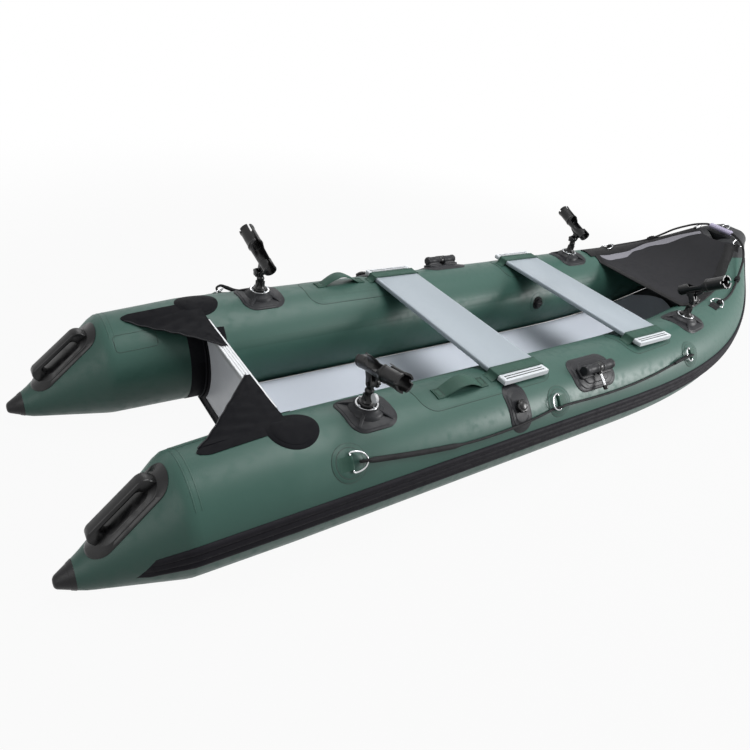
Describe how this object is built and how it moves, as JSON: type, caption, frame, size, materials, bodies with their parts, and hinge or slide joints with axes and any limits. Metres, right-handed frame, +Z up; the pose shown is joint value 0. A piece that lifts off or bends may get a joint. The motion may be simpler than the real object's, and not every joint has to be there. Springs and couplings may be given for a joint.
{
  "type": "inflatable tandem kayak",
  "caption": "Long inflatable boat with side tubes that meet in a raised bow, a transom, cross benches, rod holders, oarlocks and grab lines.",
  "frame": {"origin": "on the ground under the middle of the boat's length and width", "axes": "+Y towards the bow, +X to starboard, +Z up"},
  "size_m": [1.2784, 3.9857, 0.7256],
  "materials": {
    "tube_green": "satin",
    "moulded_black": "satin",
    "strake_rubber": "satin",
    "pad_rubber": "satin",
    "bottom_grey": "matte",
    "deck_grey": "matte",
    "transom_panel": "painted",
    "anodised_aluminium": "brushed",
    "gusset_fabric": "satin",
    "cover_fabric": "matte",
    "stainless_steel": "polished",
    "rope_black": "braided",
    "grip_grey": "matte"
  },
  "bodies": {
    "hull": {"air_deck": "deck_grey", "bottom_skin": "bottom_grey", "bow_cover": "cover_fabric", "bow_grip": "grip_grey", "bow_line": "rope_black", "nose_cap": "strake_rubber", "port_aft_bench_sleeve": "tube_green", "port_aft_rod_pad": "pad_rubber", "port_fore_bench_sleeve": "tube_green", "port_fore_rod_pad": "pad_rubber", "port_grab_line": "rope_black", "port_gusset": "gusset_fabric", "port_oarlock_block": "pad_rubber", "port_rub_strake": "strake_rubber", "port_stern_cap": "moulded_black", "port_stern_handle": "moulded_black", "port_strap_handle": "tube_green", "port_tube": "tube_green", "starboard_aft_bench_sleeve": "tube_green", "starboard_aft_rod_pad": "pad_rubber", "starboard_fore_bench_sleeve": "tube_green", "starboard_fore_rod_pad": "pad_rubber", "starboard_grab_line": "rope_black", "starboard_gusset": "gusset_fabric", "starboard_oarlock_block": "pad_rubber", "starboard_rub_strake": "strake_rubber", "starboard_stern_cap": "moulded_black", "starboard_stern_handle": "moulded_black", "starboard_strap_handle": "tube_green", "starboard_tube": "tube_green", "transom_board": "transom_panel", "transom_cap": "anodised_aluminium"},
    "aft_bench": {"aft_bench": "anodised_aluminium"},
    "fore_bench": {"fore_bench": "anodised_aluminium"},
    "port_aft_rod_neck": {"port_aft_rod_neck": "moulded_black"},
    "port_aft_rod_cradle": {"port_aft_rod_cradle": "moulded_black"},
    "port_aft_rod_knob": {"port_aft_rod_knob": "moulded_black"},
    "starboard_aft_rod_neck": {"starboard_aft_rod_neck": "moulded_black"},
    "starboard_aft_rod_cradle": {"starboard_aft_rod_cradle": "moulded_black"},
    "starboard_aft_rod_knob": {"starboard_aft_rod_knob": "moulded_black"},
    "port_fore_rod_neck": {"port_fore_rod_neck": "moulded_black"},
    "port_fore_rod_cradle": {"port_fore_rod_cradle": "moulded_black"},
    "port_fore_rod_knob": {"port_fore_rod_knob": "moulded_black"},
    "starboard_fore_rod_neck": {"starboard_fore_rod_neck": "moulded_black"},
    "starboard_fore_rod_cradle": {"starboard_fore_rod_cradle": "moulded_black"},
    "starboard_fore_rod_knob": {"starboard_fore_rod_knob": "moulded_black"},
    "port_oarlock_pin": {"port_oarlock_pin": "stainless_steel"},
    "port_paddle_knob": {"port_paddle_knob": "moulded_black"},
    "port_valve_cap": {"port_valve_cap": "moulded_black"},
    "port_aft_ring": {"port_aft_ring": "stainless_steel"},
    "port_mid_ring": {"port_mid_ring": "stainless_steel"},
    "port_fore_ring": {"port_fore_ring": "stainless_steel"},
    "port_bow_ring": {"port_bow_ring": "stainless_steel"},
    "starboard_oarlock_pin": {"starboard_oarlock_pin": "stainless_steel"},
    "starboard_paddle_knob": {"starboard_paddle_knob": "moulded_black"},
    "starboard_valve_cap": {"starboard_valve_cap": "moulded_black"},
    "starboard_aft_ring": {"starboard_aft_ring": "stainless_steel"},
    "starboard_mid_ring": {"starboard_mid_ring": "stainless_steel"},
    "starboard_fore_ring": {"starboard_fore_ring": "stainless_steel"},
    "starboard_bow_ring": {"starboard_bow_ring": "stainless_steel"}
  },
  "joints": [
    {"name": "aft_bench_slide", "type": "slide", "parent": "hull", "child": "aft_bench", "axis": [1, 0, 0], "range_m": [-0.04, 0.04]},
    {"name": "fore_bench_slide", "type": "slide", "parent": "hull", "child": "fore_bench", "axis": [1, 0, 0], "range_m": [-0.04, 0.04]},
    {"name": "port_aft_rod_swivel", "type": "hinge", "parent": "hull", "child": "port_aft_rod_neck", "pos_m": [-0.424, -1.005, 0.412], "axis": [0, 0, 1], "continuous": true},
    {"name": "port_aft_rod_tilt", "type": "hinge", "parent": "port_aft_rod_neck", "child": "port_aft_rod_cradle", "pos_m": [-0.424, -1.005, 0.518], "axis": [-0.0349, 0.9994, 0], "range_deg": [-40, 55]},
    {"name": "port_aft_rod_thumb_screw", "type": "hinge", "parent": "port_aft_rod_cradle", "child": "port_aft_rod_knob", "pos_m": [-0.424, -1.005, 0.518], "axis": [0.0349, -0.9994, 0], "continuous": true},
    {"name": "starboard_aft_rod_swivel", "type": "hinge", "parent": "hull", "child": "starboard_aft_rod_neck", "pos_m": [0.424, -1.005, 0.412], "axis": [0, 0, 1], "continuous": true},
    {"name": "starboard_aft_rod_tilt", "type": "hinge", "parent": "starboard_aft_rod_neck", "child": "starboard_aft_rod_cradle", "pos_m": [0.424, -1.005, 0.518], "axis": [-0.0349, -0.9994, 0], "range_deg": [-35, 60]},
    {"name": "starboard_aft_rod_thumb_screw", "type": "hinge", "parent": "starboard_aft_rod_cradle", "child": "starboard_aft_rod_knob", "pos_m": [0.424, -1.005, 0.518], "axis": [0.0349, 0.9994, 0], "continuous": true},
    {"name": "port_fore_rod_swivel", "type": "hinge", "parent": "hull", "child": "port_fore_rod_neck", "pos_m": [-0.39754, 0.98475, 0.43421], "axis": [0, 0, 1], "continuous": true},
    {"name": "port_fore_rod_tilt", "type": "hinge", "parent": "port_fore_rod_neck", "child": "port_fore_rod_cradle", "pos_m": [-0.39754, 0.98475, 0.54021], "axis": [0.1736, 0.9848, 0], "range_deg": [-36, 59]},
    {"name": "port_fore_rod_thumb_screw", "type": "hinge", "parent": "port_fore_rod_cradle", "child": "port_fore_rod_knob", "pos_m": [-0.39754, 0.98475, 0.54021], "axis": [-0.1736, -0.9848, 0], "continuous": true},
    {"name": "starboard_fore_rod_swivel", "type": "hinge", "parent": "hull", "child": "starboard_fore_rod_neck", "pos_m": [0.39754, 0.98475, 0.43421], "axis": [0, 0, 1], "continuous": true},
    {"name": "starboard_fore_rod_tilt", "type": "hinge", "parent": "starboard_fore_rod_neck", "child": "starboard_fore_rod_cradle", "pos_m": [0.39754, 0.98475, 0.54021], "axis": [-0.1392, -0.9903, 0], "range_deg": [-56, 39]},
    {"name": "starboard_fore_rod_thumb_screw", "type": "hinge", "parent": "starboard_fore_rod_cradle", "child": "starboard_fore_rod_knob", "pos_m": [0.39754, 0.98475, 0.54021], "axis": [0.1392, 0.9903, 0], "continuous": true},
    {"name": "port_oarlock_swing", "type": "hinge", "parent": "hull", "child": "port_oarlock_pin", "pos_m": [-0.54229, 0.1, 0.41941], "axis": [0, 1, 0], "range_deg": [0, 150]},
    {"name": "port_paddle_knob_turn", "type": "hinge", "parent": "hull", "child": "port_paddle_knob", "pos_m": [-0.56658, -0.379, 0.35468], "axis": [-0.6921, 0, 0.7218], "continuous": true},
    {"name": "port_valve_cap_turn", "type": "hinge", "parent": "hull", "child": "port_valve_cap", "pos_m": [-0.21927, 0.60814, 0.25798], "axis": [0.9725, -0.0355, 0.23], "range_deg": [0, 90]},
    {"name": "starboard_oarlock_swing", "type": "hinge", "parent": "hull", "child": "starboard_oarlock_pin", "pos_m": [0.54229, 0.1, 0.41941], "axis": [0, -1, 0], "range_deg": [0, 150]},
    {"name": "starboard_paddle_knob_turn", "type": "hinge", "parent": "hull", "child": "starboard_paddle_knob", "pos_m": [0.56658, -0.379, 0.35468], "axis": [0.6921, 0, 0.7218], "continuous": true},
    {"name": "starboard_valve_cap_turn", "type": "hinge", "parent": "hull", "child": "starboard_valve_cap", "pos_m": [0.21927, 0.60814, 0.25798], "axis": [-0.9725, -0.0355, 0.23], "range_deg": [0, 90]},
    {"name": "port_aft_ring_hinge", "type": "hinge", "parent": "hull", "child": "port_aft_ring", "pos_m": [-0.57905, -1.145, 0.35058], "axis": [0.682, 0, 0.7314], "range_deg": [-8, 8]},
    {"name": "port_mid_ring_hinge", "type": "hinge", "parent": "hull", "child": "port_mid_ring", "pos_m": [-0.58875, -0.16, 0.33942], "axis": [-0.6293, 0, -0.7771], "range_deg": [0, 10]},
    {"name": "port_fore_ring_hinge", "type": "hinge", "parent": "hull", "child": "port_fore_ring", "pos_m": [-0.57037, 0.83649, 0.35596], "axis": [-0.6384, 0.089, -0.7645], "range_deg": [0, 10]},
    {"name": "port_bow_ring_hinge", "type": "hinge", "parent": "hull", "child": "port_bow_ring", "pos_m": [-0.38154, 1.30644, 0.46705], "axis": [0.9609, -0.2293, 0.1554], "range_deg": [0, 10]},
    {"name": "starboard_aft_ring_hinge", "type": "hinge", "parent": "hull", "child": "starboard_aft_ring", "pos_m": [0.57905, -1.145, 0.35058], "axis": [0.682, 0, -0.7314], "range_deg": [-8, 8]},
    {"name": "starboard_mid_ring_hinge", "type": "hinge", "parent": "hull", "child": "starboard_mid_ring", "pos_m": [0.58875, -0.16, 0.33942], "axis": [-0.6293, 0, 0.7771], "range_deg": [0, 10]},
    {"name": "starboard_fore_ring_hinge", "type": "hinge", "parent": "hull", "child": "starboard_fore_ring", "pos_m": [0.57037, 0.83649, 0.35596], "axis": [-0.6384, -0.089, 0.7645], "range_deg": [0, 10]},
    {"name": "starboard_bow_ring_hinge", "type": "hinge", "parent": "hull", "child": "starboard_bow_ring", "pos_m": [0.38154, 1.30644, 0.46705], "axis": [0.9609, 0.2293, -0.1554], "range_deg": [0, 10]}
  ]
}
